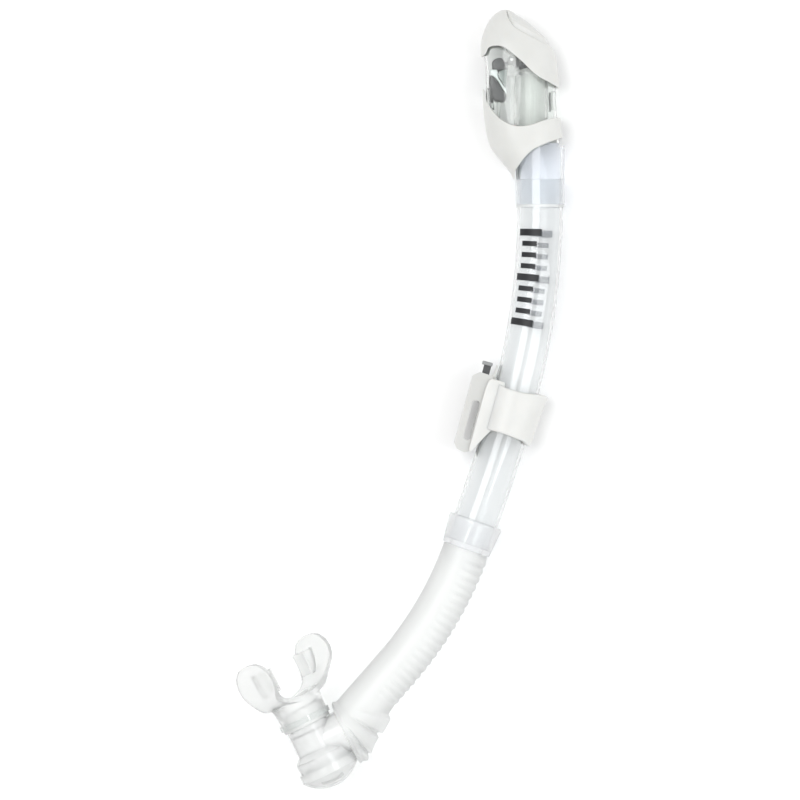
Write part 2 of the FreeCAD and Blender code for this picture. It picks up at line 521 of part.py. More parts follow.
def build_mouthpiece():
    neck = Part.makeLoft([ellipse_wire(13.9, 13.4, 13.1), ellipse_wire(14.0, 13.2, 18.0),
                          ellipse_wire(14.8, 12.6, 22.5), ellipse_wire(16.6, 11.6, 27.8)], True, False)
    out_c = [(28.3, 60.0), (27.6, 51.0), (26.2, 43.0), (23.2, 35.6), (17.2, 30.0), (9.0, 27.2), (0.0, 26.3)]
    in_c = [(25.6, 60.0), (24.9, 51.6), (23.4, 44.2), (20.6, 38.0), (15.6, 33.0), (8.4, 30.2), (0.0, 29.3)]
    def lean(x, z):
        k = min(max((z - 27.0) / 23.0, 0.0), 1.0)
        k = k * k * (3 - 2 * k)
        return (x * (1 - 0.065 * k) + 3.1 * k, z - 2.3 * k)
    o_pts = [lean(x, z) for x, z in out_c + [(-x, z) for x, z in reversed(out_c[:-1])]]
    i_pts = [lean(x, z) for x, z in in_c + [(-x, z) for x, z in reversed(in_c[:-1])]]
    e = [spline([(x, -18.0, z) for x, z in o_pts]), spline([(x, -18.0, z) for x, z in i_pts])]
    e.append(Part.LineSegment(V(o_pts[0][0], -18, o_pts[0][1]), V(i_pts[0][0], -18, i_pts[0][1])).toShape())
    e.append(Part.LineSegment(V(o_pts[-1][0], -18, o_pts[-1][1]), V(i_pts[-1][0], -18, i_pts[-1][1])).toShape())
    wire = Part.Wire(Part.__sortEdges__(e))
    shield = Part.Face(wire).extrude(V(0, 36.0, 0))
    half = [(11.0, 25.0), (11.0, 29.0), (9.8, 33.5), (11.4, 38.0), (13.6, 43.0), (14.2, 48.0), (12.6, 53.5),
            (8.0, 57.9), (0.0, 59.4)]
    half = [(y, lean(0, z)[1]) for y, z in half]
    loop = [(y, z) for y, z in half] + [(-y, z) for y, z in reversed(half[:-1])]
    e = [spline([(-40.0, y, z) for y, z in loop]),
         Part.LineSegment(V(-40, -11.0, 25.0), V(-40, 11.0, 25.0)).toShape()]
    outline = Part.Face(Part.Wire(Part.__sortEdges__(e))).extrude(V(80, 0, 0))
    shield = shield.common(outline)
    tabs = []
    for s in (1, -1):
        a = box(min(s * 14.4, s * 23.4), max(s * 14.4, s * 23.4), -1.7, 1.7, 37.4, 50.0)
        b = box(min(s * 12.9, s * 14.8), max(s * 12.9, s * 14.8), -4.4, 4.4, 37.0, 50.4)
        for t in (a, b):
            t.translate(V(2.9, 0, 0))
        tabs += [a, b]
    body = neck.fuse([shield] + tabs)
    bore = cyl(11.03, (0, 0, 12.0), (0, 0, 23.2))
    air = Part.makeLoft([ellipse_wire(9.6, 7.8, 22.0), ellipse_wire(9.8, 6.4, 31.5)], True, False)
    body = body.cut(bore).cut(air)
    PARTS["mouthpiece"] = put(body.removeSplitter(), MP)
    to = Part.makeLoft([ellipse_wire(15.0, 14.4, 15.2), ellipse_wire(15.1, 14.3, 18.2)], True, False)
    ti = Part.makeLoft([ellipse_wire(13.98, 13.42, 14.2), ellipse_wire(14.1, 13.3, 19.2)], True, False)
    PARTS["mouthpiece_tie"] = put(to.cut(ti), MP)


# ------------------------------------------------------------------ lie on the floor
def lie():
    rot = FreeCAD.Rotation(V(0, 1, 0), LIE_TURN_Y).multiply(FreeCAD.Rotation(V(1, 0, 0), LIE_TURN_X))
    return FreeCAD.Placement(V(*LIE_SHIFT), rot)


def build_all():
    build_head()
    build_barrel()
    build_keeper()
    build_hose()
    build_chamber()
    build_mouthpiece()


build_all()

if __name__ == "__main__":
    LIE = lie()
    for name in sorted(PARTS):
        shape = put(PARTS[name], LIE)
        solids = shape.Solids
        ok = all(s.isValid() and s.isClosed() for s in solids)
        bb = shape.BoundBox
        print("%-16s solids %2d valid %s vol %9.1f  x %7.1f..%6.1f y %7.1f..%6.1f z %6.1f..%5.1f" % (
            name, len(solids), ok, shape.Volume, bb.XMin, bb.XMax, bb.YMin, bb.YMax, bb.ZMin, bb.ZMax))
        out = solids[0] if len(solids) == 1 else Part.makeCompound(solids)
        out.exportStep("parts/%s.step" % name)
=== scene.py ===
import bpy, bmesh, math
import numpy as np
from mathutils import Matrix, Vector

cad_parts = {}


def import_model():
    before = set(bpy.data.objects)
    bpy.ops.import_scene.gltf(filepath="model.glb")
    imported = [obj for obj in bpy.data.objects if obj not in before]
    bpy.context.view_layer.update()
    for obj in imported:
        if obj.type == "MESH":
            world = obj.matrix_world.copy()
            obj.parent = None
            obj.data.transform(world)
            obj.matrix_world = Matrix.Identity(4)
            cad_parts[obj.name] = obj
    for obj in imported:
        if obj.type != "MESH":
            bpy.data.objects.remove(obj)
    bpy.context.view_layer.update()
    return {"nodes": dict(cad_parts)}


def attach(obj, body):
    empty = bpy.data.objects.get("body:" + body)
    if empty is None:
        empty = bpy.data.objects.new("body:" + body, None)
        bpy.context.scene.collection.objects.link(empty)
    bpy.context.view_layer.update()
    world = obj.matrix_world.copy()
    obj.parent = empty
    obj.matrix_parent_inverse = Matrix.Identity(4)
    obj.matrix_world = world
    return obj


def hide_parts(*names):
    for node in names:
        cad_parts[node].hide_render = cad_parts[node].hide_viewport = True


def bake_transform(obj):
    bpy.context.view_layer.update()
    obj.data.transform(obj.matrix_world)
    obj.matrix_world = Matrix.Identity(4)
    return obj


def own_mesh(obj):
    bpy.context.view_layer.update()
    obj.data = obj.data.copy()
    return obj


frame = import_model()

# Dry-top snorkel lying on a pale floor.  Shapes are drawn in the tube plane in
# millimetres (x right, y up the tube, z out of the plane), the same drawing
# frame as the CAD pieces, and PLANE carries them to the row frame in metres.
PLANE = (Matrix.Translation((-0.7501e-3, -0.5242e-3, 24.0932e-3))
         @ Matrix.Rotation(math.radians(7.67050), 4, 'Y')
         @ Matrix.Rotation(math.radians(0.66380), 4, 'X')
         @ Matrix.Scale(0.001, 4))
PM = np.array(PLANE)
scene = bpy.context.scene
NODES = frame["nodes"]
rng = np.random.default_rng(11)


def world(p):
    p = np.asarray(p, float)
    return p @ PM[:3, :3].T + PM[:3, 3]


# ------------------------------------------------------------------ mesh helpers
class Build:
    def __init__(self):
        self.v, self.f = [], []

    def ring_stack(self, rows, cap0=False, cap1=False, loop=False):
        """rows: list of (C, 3) arrays, each a closed ring."""
        base = len(self.v)
        c = len(rows[0])
        for r in rows:
            self.v.extend(np.asarray(r, float).tolist())
        n = len(rows)
        for i in range(n if loop else n - 1):
            a, b = base + i * c, base + ((i + 1) % n) * c
            for j in range(c):
                k = (j + 1) % c
                self.f.append((a + j, a + k, b + k, b + j))
        for flag, i in ((cap0, 0), (cap1, n - 1)):
            if flag:
                self.v.append(np.mean(rows[i], axis=0).tolist())
                m = len(self.v) - 1
                a = base + i * c
                for j in range(c):
                    k = (j + 1) % c
                    self.f.append((a + j, m, a + k) if i == 0 else (a + k, m, a + j))
        return self

    def prism(self, outline, z0, z1, place):
        """Extrudes a closed (x, y) outline between z0 and z1; place maps local points."""
        base = len(self.v)
        n = len(outline)
        pts = [(x, y, z0) for x, y in outline] + [(x, y, z1) for x, y in outline]
        self.v.extend(np.asarray(place(np.array(pts, float)), float).tolist())
        for j in range(n):
            k = (j + 1) % n
            self.f.append((base + j, base + k, base + n + k, base + n + j))
        self.f.append(tuple(base + j for j in range(n))[::-1])
        self.f.append(tuple(base + n + j for j in range(n)))
        return self

    def object(self, name, body, mat, replaces=(), slot=None, sharp=35.0, ride=True):
        me = bpy.data.meshes.new(name)
        me.from_pydata(world(self.v).tolist(), [], self.f)
        me.validate()
        bm = bmesh.new()
        bm.from_mesh(me)
        bmesh.ops.recalc_face_normals(bm, faces=bm.faces)
        bm.to_mesh(me)
        bm.free()
        me.shade_smooth()
        if sharp:
            me.set_sharp_from_angle(angle=math.radians(sharp))
        me.materials.append(mat)
        o = bpy.data.objects.new(name, me)
        scene.collection.objects.link(o)
        if ride:
            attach(o, body)
        if replaces:
            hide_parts(*replaces)
        return o


def catmull(points, n=12):
    """Smooth curve through the points, n samples a span."""
    p = np.asarray(points, float)
    q = np.vstack([2 * p[0] - p[1], p, 2 * p[-1] - p[-2]])
    out = []
    for i in range(1, len(q) - 2):
        for j in range(n):
            t = j / n
            a, b, c, d = q[i - 1], q[i], q[i + 1], q[i + 2]
            out.append(0.5 * (2 * b + (c - a) * t + (2 * a - 5 * b + 4 * c - d) * t * t
                              + (3 * b - a - 3 * c + d) * t ** 3))
    out.append(p[-1])
    return np.array(out)


def sstep(a, b, x):
    t = np.clip((np.asarray(x, float) - a) / (b - a), 0, 1)
    return t * t * (3 - 2 * t)


def apply_modifiers(o):
    deps = bpy.context.evaluated_depsgraph_get()
    me = bpy.data.meshes.new_from_object(o.evaluated_get(deps), depsgraph=deps)
    old = o.data
    o.modifiers.clear()
    o.data = me
    me.name = old.name
    return o


# ------------------------------------------------------------------ the tube's path
def rad(a):
    return math.radians(a)


def tilt_dir(t):
    return np.array([-math.sin(rad(t)), -math.cos(rad(t))])


def arc_point(c, r, t):
    return np.array([c[0] + r * math.cos(rad(t)), c[1] - r * math.sin(rad(t))])


TOP_X, TOP_Y = 77.1, 106.7
R1, T1, R2, T2, R3, T3 = 399.0, 13.6, 700.0, 19.5, 200.0, 41.0
C1 = np.array([TOP_X - R1, TOP_Y])
P1 = arc_point(C1, R1, T1)
C2 = np.array([P1[0] - R2 * math.cos(rad(T1)), P1[1] + R2 * math.sin(rad(T1))])
P2 = arc_point(C2, R2, T2)
D2 = tilt_dir(T2)
P3 = P2 + D2 * 27.4
C3 = np.array([P3[0] - R3 * math.cos(rad(T2)), P3[1] + R3 * math.sin(rad(T2))])
P4 = arc_point(C3, R3, T3)
D4 = tilt_dir(T3)
P5 = P4 + D4 * 36.0
CH = np.array([-45.1, -190.3])
NV = np.array([math.sin(rad(26)), -math.cos(rad(26))])
PV = np.array([math.cos(rad(26)), math.sin(rad(26))])


def ch_point(n, p):
    return CH + NV * n + PV * p


def chamber(p):
    """chamber frame (n, p, z) to the tube plane"""
    p = np.asarray(p, float)
    return np.column_stack([CH[0] + NV[0] * p[:, 0] + PV[0] * p[:, 1],
                            CH[1] + NV[1] * p[:, 0] + PV[1] * p[:, 1], p[:, 2]])


CR = SR = math.sqrt(0.5)
MPX = np.array([CR * PV[0], CR * PV[1], -SR])
MPY = np.array([-SR * PV[0], -SR * PV[1], -CR])
MPZ = np.array([-NV[0], -NV[1], 0.0])
MPO = np.array([CH[0], CH[1], 0.0])


def mouth(p):
    p = np.asarray(p, float)
    return MPO + p[:, :1] * MPX + p[:, 1:2] * MPY + p[:, 2:3] * MPZ


KC = arc_point(C2, R2, 15.3)
KD = tilt_dir(15.3)
KX = np.array([-KD[0], -KD[1], 0.0])
KY = np.array([KD[1], -KD[0], 0.0])
KO = np.array([KC[0], KC[1], 0.0])


def keeper(p):
    p = np.asarray(p, float)
    return KO + p[:, :1] * KX + p[:, 1:2] * KY + p[:, 2:3] * np.array([0, 0, 1.0])


# ------------------------------------------------------------------ materials
def nodes_of(name):
    m = bpy.data.materials.new(name)
    m.use_nodes = True
    nt = m.node_tree
    nt.nodes.clear()
    out = nt.nodes.new("ShaderNodeOutputMaterial")
    b = nt.nodes.new("ShaderNodeBsdfPrincipled")
    return m, nt, out, b


def coords(nt, scale=(1, 1, 1)):
    tc = nt.nodes.new("ShaderNodeTexCoord")
    mp = nt.nodes.new("ShaderNodeMapping")
    mp.inputs["Scale"].default_value = scale
    nt.links.new(tc.outputs["Object"], mp.inputs["Vector"])
    return mp.outputs["Vector"]


def noise(nt, vec, scale, detail=3.0, rough=0.55):
    n = nt.nodes.new("ShaderNodeTexNoise")
    n.inputs["Scale"].default_value = scale
    n.inputs["Detail"].default_value = detail
    n.inputs["Roughness"].default_value = rough
    nt.links.new(vec, n.inputs["Vector"])
    return n.outputs["Fac"]


def remap(nt, fac, lo, hi, a=0.3, b=0.7):
    r = nt.nodes.new("ShaderNodeMapRange")
    r.inputs["From Min"].default_value = a
    r.inputs["From Max"].default_value = b
    r.inputs["To Min"].default_value = lo
    r.inputs["To Max"].default_value = hi
    nt.links.new(fac, r.inputs["Value"])
    return r.outputs["Result"]


def two_tone(nt, fac, c0, c1, a=0.35, b=0.65):
    r = nt.nodes.new("ShaderNodeValToRGB")
    r.color_ramp.elements[0].position = a
    r.color_ramp.elements[0].color = (*c0, 1)
    r.color_ramp.elements[1].position = b
    r.color_ramp.elements[1].color = (*c1, 1)
    nt.links.new(fac, r.inputs["Fac"])
    return r.outputs["Color"]


def bump(nt, b, heights):
    """heights: list of (fac output, strength, distance) chained."""
    last = None
    for h, s, d in heights:
        n = nt.nodes.new("ShaderNodeBump")
        n.inputs["Strength"].default_value = s
        n.inputs["Distance"].default_value = d
        nt.links.new(h, n.inputs["Height"])
        if last is not None:
            nt.links.new(last, n.inputs["Normal"])
        last = n.outputs["Normal"]
    nt.links.new(last, b.inputs["Normal"])


def clear(name, c0, c1, rough=(0.02, 0.08), ior=1.46, weight=1.0, shade=(0.8, 0.81, 0.825), grain=900.0,
          grain_s=0.04, wave=45.0, wave_s=0.06, coat=0.0, spec=0.5):
    m, nt, out, b = nodes_of(name)
    v = coords(nt)
    soft = noise(nt, v, wave, 3)
    fine = noise(nt, v, grain, 2)
    nt.links.new(two_tone(nt, soft, c0, c1), b.inputs["Base Color"])
    nt.links.new(remap(nt, soft, *rough), b.inputs["Roughness"])
    b.inputs["IOR"].default_value = ior
    b.inputs["Transmission Weight"].default_value = weight
    b.inputs["Specular IOR Level"].default_value = spec
    if coat:
        b.inputs["Coat Weight"].default_value = coat
        b.inputs["Coat Roughness"].default_value = 0.08
    bump(nt, b, [(soft, wave_s, 0.002), (fine, grain_s, 0.0003)])
    tr = nt.nodes.new("ShaderNodeBsdfTransparent")
    tr.inputs["Color"].default_value = (*shade, 1)
    lp = nt.nodes.new("ShaderNodeLightPath")
    mix = nt.nodes.new("ShaderNodeMixShader")
    nt.links.new(lp.outputs["Is Shadow Ray"], mix.inputs["Fac"])
    nt.links.new(b.outputs["BSDF"], mix.inputs[1])
    nt.links.new(tr.outputs["BSDF"], mix.inputs[2])
    nt.links.new(mix.outputs["Shader"], out.inputs["Surface"])
    return m


def solid(name, c0, c1, rough=(0.3, 0.45), spec=0.5, grain=1200.0, grain_s=0.08, wave=60.0, sss=0.0,
          sss_r=(1, 0.9, 0.8), sss_s=0.002, coat=0.0, metal=0.0, sheen=0.0):
    m, nt, out, b = nodes_of(name)
    v = coords(nt)
    soft = noise(nt, v, wave, 4)
    fine = noise(nt, v, grain, 2)
    nt.links.new(two_tone(nt, soft, c0, c1), b.inputs["Base Color"])
    nt.links.new(remap(nt, soft, *rough), b.inputs["Roughness"])
    b.inputs["Specular IOR Level"].default_value = spec
    b.inputs["Metallic"].default_value = metal
    if sss:
        b.inputs["Subsurface Weight"].default_value = sss
        b.inputs["Subsurface Radius"].default_value = sss_r
        b.inputs["Subsurface Scale"].default_value = sss_s
    if coat:
        b.inputs["Coat Weight"].default_value = coat
        b.inputs["Coat Roughness"].default_value = 0.12
    bump(nt, b, [(soft, 0.05, 0.001), (fine, grain_s, 0.0002)])
    nt.links.new(b.outputs["BSDF"], out.inputs["Surface"])
    return m


M_BARREL = clear("clear_tube", (0.924, 0.936, 0.938), (0.948, 0.956, 0.957), (0.03, 0.07), 1.47, 0.90,
                 (0.82, 0.826, 0.83), 900.0, 0.01, 45.0, 0.015)
M_SHELL = clear("clear_shell", (0.92, 0.942, 0.97), (0.945, 0.96, 0.978), (0.03, 0.09), 1.47, 0.92,
                (0.90, 0.908, 0.925))
M_CASE = clear("clear_case", (0.92, 0.937, 0.926), (0.945, 0.957, 0.948), (0.03, 0.09), 1.47, 0.96,
               (0.92, 0.928, 0.924))
M_PIPE = clear("clear_pipe", (0.885, 0.895, 0.882), (0.915, 0.922, 0.912), (0.05, 0.12), 1.47, 0.9,
               (0.91, 0.915, 0.91))
M_CONN = clear("clear_joint", (0.982, 0.988, 0.994), (0.99, 0.994, 0.997), (0.04, 0.1), 1.43, 0.76,
               (0.91, 0.914, 0.922), 900.0, 0.02, 45.0, 0.03)
M_HOSE = clear("silicone_hose", (0.94, 0.946, 0.938), (0.958, 0.963, 0.956), (0.31, 0.42), 1.38, 0.58,
               (0.84, 0.845, 0.845), 1400.0, 0.03, 38.0, 0.03, 0.0, 0.3)
M_MOUTH = clear("silicone_mouth", (0.975, 0.981, 0.974), (0.986, 0.99, 0.984), (0.10, 0.18), 1.40, 0.66,
                (0.82, 0.828, 0.824), 1100.0, 0.06, 50.0, 0.08)
M_COVER = clear("clear_cover", (0.98, 0.985, 0.98), (0.99, 0.993, 0.99), (0.06, 0.13), 1.44, 0.68,
                (0.88, 0.886, 0.882))
M_CHAMBER = clear("clear_chamber", (0.985, 0.99, 0.986), (0.993, 0.995, 0.993), (0.06, 0.13), 1.44, 0.68,
                  (0.86, 0.866, 0.862))
M_TIE = clear("clear_tie", (0.89, 0.91, 0.9), (0.92, 0.935, 0.928), (0.05, 0.1), 1.46, 0.8,
              (0.86, 0.866, 0.862))
M_VALVE = clear("silicone_valve", (0.955, 0.96, 0.955), (0.97, 0.972, 0.968), (0.2, 0.3), 1.39, 0.62,
                (0.95, 0.954, 0.952))
M_WHITE = solid("white_satin", (0.668, 0.672, 0.65), (0.705, 0.708, 0.687), (0.30, 0.40), 0.45, sss=0.25)
M_KEEP = solid("white_keeper", (0.70, 0.703, 0.683), (0.735, 0.738, 0.718), (0.30, 0.42), 0.45, sss=0.3,
               sss_s=0.003)
# the keeper's white plastic made darker for the clip: painted shade for the clip's tilted face
M_CLIP_PAINTED_SHADE = solid("clip_white_painted_shade", (0.59, 0.593, 0.575), (0.63, 0.633, 0.615), (0.30, 0.42), 0.45, sss=0.25)
M_BLACK = solid("dark_float", (0.012, 0.014, 0.016), (0.03, 0.032, 0.034), (0.35, 0.5), 0.5)
# painted reflection: a light teal tone for the glossy band across the black float
M_PAINTED_REFLECTION = solid("painted_reflection_float", (0.62, 0.68, 0.67), (0.72, 0.77, 0.76), (0.12, 0.2), 0.6, coat=0.4)
M_SMOKE = solid("float_facet", (0.13, 0.165, 0.155), (0.2, 0.24, 0.225), (0.12, 0.2), 0.6, coat=0.5)
M_RUBBER = solid("dark_rubber", (0.03, 0.033, 0.035), (0.06, 0.063, 0.066), (0.5, 0.65), 0.3)
M_GREY = solid("grey_plastic", (0.27, 0.28, 0.28), (0.34, 0.35, 0.35), (0.35, 0.45), 0.5)
M_DARK = solid("dark_plastic", (0.045, 0.047, 0.05), (0.08, 0.083, 0.086), (0.35, 0.5), 0.5)
M_PRINT = solid("black_print", (0.008, 0.009, 0.011), (0.02, 0.021, 0.024), (0.35, 0.5), 0.4)
M_PRINT2 = solid("slate_print", (0.055, 0.075, 0.11), (0.09, 0.115, 0.155), (0.4, 0.55), 0.3)
M_STEEL = solid("steel_pin", (0.45, 0.45, 0.45), (0.55, 0.55, 0.55), (0.2, 0.3), 0.5, metal=1.0)


def finish_node(name, mat, bevel=0.0):
    o = NODES[name]
    if not o.data.materials:
        o.data.materials.append(mat)
    for s in o.material_slots:
        s.link = 'OBJECT'
        s.material = mat
    if bevel:
        md = o.modifiers.new("edge", 'BEVEL')
        md.width = bevel * 0.001
        md.segments = 2
        md.limit_method = 'ANGLE'
        md.angle_limit = rad(40)
        md.harden_normals = False
    return o


finish_node("head_socket", M_SHELL)
finish_node("valve_chamber", M_CASE)
finish_node("inlet_tube", M_PIPE)
finish_node("purge_chamber", M_CHAMBER)
finish_node("purge_seat", M_COVER)
finish_node("purge_valve", M_VALVE)
finish_node("purge_cover", M_COVER)
finish_node("head_o_ring", M_VALVE)
finish_node("lever_pin", M_STEEL)
finish_node("float_lever", M_DARK)
finish_node("seal_flap", M_RUBBER)
finish_node("latch_tab", M_WHITE)
finish_node("button_plunger", M_DARK)
finish_node("strap_clip", M_CLIP_PAINTED_SHADE)
finish_node("mouthpiece_tie", M_TIE)

# ------------------------------------------------------------------ head shells
HEAD = [
    (121.0, 62.7, 91.5, 14.4), (125.4, 60.2, 91.4, 14.6), (132.0, 55.0, 90.8, 15.0),
    (138.6, 50.0, 90.0, 15.6), (145.2, 47.8, 89.2, 16.2), (151.8, 46.8, 88.5, 16.6),
    (158.4, 46.0, 88.0, 16.8), (165.0, 45.6, 87.7, 16.9), (171.6, 45.5, 87.6, 16.9),
    (178.0, 45.5, 87.2, 16.8), (185.0, 45.2, 86.4, 16.4), (191.4, 44.4, 84.8, 15.8),
    (198.0, 44.8, 81.3, 14.6), (204.6, 46.9, 75.6, 12.4), (208.4, 48.9, 71.6, 10.4),
    (211.4, 51.3, 67.6, 7.8), (213.5, 54.0, 64.0, 5.0), (214.55, 56.3, 61.0, 2.4), (214.75, 58.5, 58.8, 0.12)]
SPAN = 24
HT = catmull(HEAD, SPAN)            # dense: y, left, right, half depth
KMAX = (len(HEAD) - 1)


def head_row(k):
    i = np.clip(np.asarray(k, float), 0, KMAX) * SPAN
    lo = np.minimum(i.astype(int), len(HT) - 2)
    f = (i - lo)[..., None]
    return HT[lo] * (1 - f) + HT[lo + 1] * f


def head_point(th, k, t):
    """th, k, t arrays of one shape: points of the head form shrunk by t."""
    row = head_row(k)
    y, xl, xr, b = row[..., 0], row[..., 1], row[..., 2], row[..., 3]
    a = np.maximum((xr - xl) / 2 - t, 0.06)
    bb = np.maximum(b - t, 0.06)
    yy = np.where(y < 195, y, y - t * (y - 195) / 20.0)
    ex = 2 / 2.25
    c, s = np.cos(th), np.sin(th)
    return np.stack([(xl + xr) / 2 + a * np.sign(c) * np.abs(c) ** ex, yy,
                     bb * np.sign(s) * np.abs(s) ** ex], -1)


HOOD_EDGE = catmull([(30.0, 184.0), (38.0, 186.0), (46.2, 189.2), (48.8, 193.2), (53.5, 194.0), (57.4, 192.7),
                     (61.4, 189.6), (66.7, 185.2), (74.6, 177.8), (82.5, 173.6), (88.5, 170.6), (96.0, 167.0)])
COLLAR_TOP = catmull([(38.0, 178.0), (46.0, 170.8), (48.0, 163.0), (54.6, 154.3), (63.2, 150.2), (71.5, 150.7),
                      (79.8, 153.6), (88.0, 155.4), (96.0, 156.6)])
COLLAR_LOW = catmull([(30.0, 100.0), (60.0, 108.0), (62.5, 122.4), (64.6, 127.8), (71.5, 136.0), (79.8, 140.4),
                      (89.0, 143.8), (98.0, 146.6)])


def edge_y(curve, x):
    return np.interp(x, curve[:, 0], curve[:, 1])


def border(th, t, off, curve, from_top):
    """k where the form shrunk by t meets the trimming curve moved by off in y."""
    ks = np.linspace(0, KMAX, 600)
    if from_top:
        ks = ks[::-1]
    out = []
    for a, tt in zip(th, np.broadcast_to(t, th.shape)):
        p = head_point(np.full(ks.shape, a), ks, np.full(ks.shape, tt))
        d = p[:, 1] - (edge_y(curve, p[:, 0]) + off)
        s = d[:-1] * d[1:] <= 0
        if s.any():
            i = int(np.argmax(s))
            f = d[i] / (d[i] - d[i + 1]) if d[i] != d[i + 1] else 0
            out.append(ks[i] + f * (ks[i + 1] - ks[i]))
        else:
            out.append(0.0 if not from_top else ks[-1])
    return np.array(out)


CREASE = np.array([(58.1, 216.5), (58.5, 213.5), (59.2, 209.6), (62.15, 204.6), (66.55, 201.7), (71.5, 199.0),
                   (77.55, 196.2), (82.0, 194.4), (88.0, 192.2)])


def hood_relief(p):
    """How deep the moulded facet above the crease lies, in mm."""
    yc = np.interp(p[..., 0], CREASE[:, 0], CREASE[:, 1], left=400.0)
    d = (p[..., 1] - yc) * 0.86
    ridge = np.exp(-((d - 3.3) / 1.3) ** 2)
    return (1.15 * sstep(-0.1, 0.9, d) - 0.75 * ridge * sstep(0.0, 1.5, d)) * sstep(0.6, 3.0, 216.0 - p[..., 1])


def make_hood():
    n, t = 220, 1.6
    th = np.linspace(0, 2 * math.pi, n, endpoint=False)
    lip = 0.75
    rows = []
    kb = border(th, 0.0, lip, HOOD_EDGE, True)
    for i in range(90):
        u = i / 89
        k = KMAX - 0.02 + (kb - (KMAX - 0.02)) * (u ** 0.9)
        p = head_point(th, k, np.zeros(n))
        rows.append(head_point(th, k, hood_relief(p)))
    for j in range(1, 8):
        f = math.pi * j / 8
        tau = t / 2 * (1 - math.cos(f))
        k = border(th, tau, lip * (1 - math.sin(f)), HOOD_EDGE, True)
        rows.append(head_point(th, k, np.full(n, tau)))
    kb = border(th, t, lip, HOOD_EDGE, True)
    ktop = 15.6
    for i in range(40):
        u = i / 39
        k = kb + (ktop - kb) * u
        rows.append(head_point(th, k, np.full(n, t)))
    b = Build().ring_stack(rows, cap0=True, cap1=True)
    return b.object("top_hood_shell", "snorkel", M_WHITE, ("top_hood",), "white_shell", sharp=50)


def make_collar():
    n, t = 200, 1.6
    th = np.linspace(0, 2 * math.pi, n, endpoint=False)
    lip = 0.75

    def tops(tau, off):
        return border(th, tau, -off, COLLAR_TOP, False)

    def lows(tau, off):
        k = border(th, tau, off, COLLAR_LOW, True)
        return np.maximum(k, 0.02 + 0.10 * off)
    rows = []
    k0, k1 = tops(0.0, lip), lows(0.0, lip)
    for i in range(56):
        u = i / 55
        rows.append(head_point(th, k0 + (k1 - k0) * u, np.zeros(n)))
    for j in range(1, 6):
        f = math.pi * j / 6
        tau = t / 2 * (1 - math.cos(f))
        rows.append(head_point(th, lows(tau, lip * (1 - math.sin(f))), np.full(n, tau)))
    k0, k1 = lows(t, lip), tops(t, lip)
    for i in range(40):
        u = i / 39
        rows.append(head_point(th, k0 + (k1 - k0) * u, np.full(n, t)))
    for j in range(1, 8):
        f = math.pi * j / 8
        tau = t / 2 * (1 + math.cos(f))
        rows.append(head_point(th, tops(tau, lip * (1 - math.sin(f))), np.full(n, tau)))
    b = Build().ring_stack(rows, loop=True)
    return b.object("lower_collar_shell", "snorkel", M_WHITE, ("lower_collar",), "white_shell", sharp=50)


make_hood()
make_collar()


# ------------------------------------------------------------------ float
def rounded_rect(x0, x1, y0, y1, r, n=6):
    pts = []
    for cx, cy, a0 in ((x1 - r, y1 - r, 0), (x0 + r, y1 - r, 90), (x0 + r, y0 + r, 180), (x1 - r, y0 + r, 270)):
        for i in range(n + 1):
            a = rad(a0 + 90 * i / n)
            pts.append((cx + r * math.cos(a), cy + r * math.sin(a)))
    return pts


def pillow(outline, z0, z1, r, steps=5):
    """Rings of a prism along z whose two ends are rounded by r (outline is convex, about its mean)."""
    o = np.array(outline, float)
    c = (o.max(0) + o.min(0)) / 2
    h = (o.max(0) - o.min(0)) / 2
    rows = []
    for i in range(steps + 1):
        a = math.pi / 2 * i / steps
        ins = r * (1 - math.sin(a))
        z = z0 + r * (1 - math.cos(a))
        rows.append((ins, z))
    rows += [(ins, z0 + z1 - z) for ins, z in rows[::-1]]
    out = []
    for ins, z in rows:
        s = (h - ins) / h
        q = c + (o - c) * s
        out.append(np.column_stack([q, np.full(len(q), z)]))
    return out


def prism_z(b, pts, z0, z1, r, n=5, steps=4):
    q = np.array(pts, float)
    ring = catmull(np.vstack([q, q[:1]]), n)[:-1] if n else q
    b.ring_stack(pillow(ring, z0, z1, r, steps), True, True)


def make_float():
    b = Build()
    ear = [(50.9, 181.6), (51.0, 185.6), (53.6, 187.6), (56.6, 187.0), (58.2, 183.0), (58.3, 181.4), (54.0, 180.9)]
    for z0, z1 in ((3.45, 6.55), (-6.55, -3.45)):
        prism_z(b, ear, z0, z1, 0.7)
    lower = [(49.7, 178.4), (51.6, 177.4), (54.0, 174.4), (57.6, 168.6), (58.4, 166.4), (57.6, 164.2), (54.6, 163.7),
             (51.6, 164.9), (50.1, 168.6), (49.6, 173.6)]
    prism_z(b, lower, -7.0, 7.0, 1.3)
    o = b.object("float_body", "float", M_BLACK, ("float_block",), "dark_float", sharp=45)
    f = Build()
    prism_z(f, [(54.0, 180.2), (58.4, 181.3), (58.5, 176.4), (58.1, 171.6), (56.0, 174.4), (53.9, 177.6)], -6.7, 6.7, 0.6, 3, 3)
    f.object("float_facet", "float", M_SMOKE, (), "dark_float", sharp=45)
    g = Build()
    # a light diagonal band across the float: a painted reflection, not a seam in the float
    prism_z(g, [(50.0, 181.3), (53.4, 181.3), (53.4, 177.8), (56.2, 173.4), (58.5, 170.2), (58.7, 167.8), (57.9, 168.9),
                (54.2, 174.9), (51.8, 177.9), (49.8, 179.0)], -6.9, 6.9, 0.5, 0, 3)
    g.object("float_painted_reflection", "float", M_PAINTED_REFLECTION, (), "clear_shell", sharp=45)
    return o


make_float()


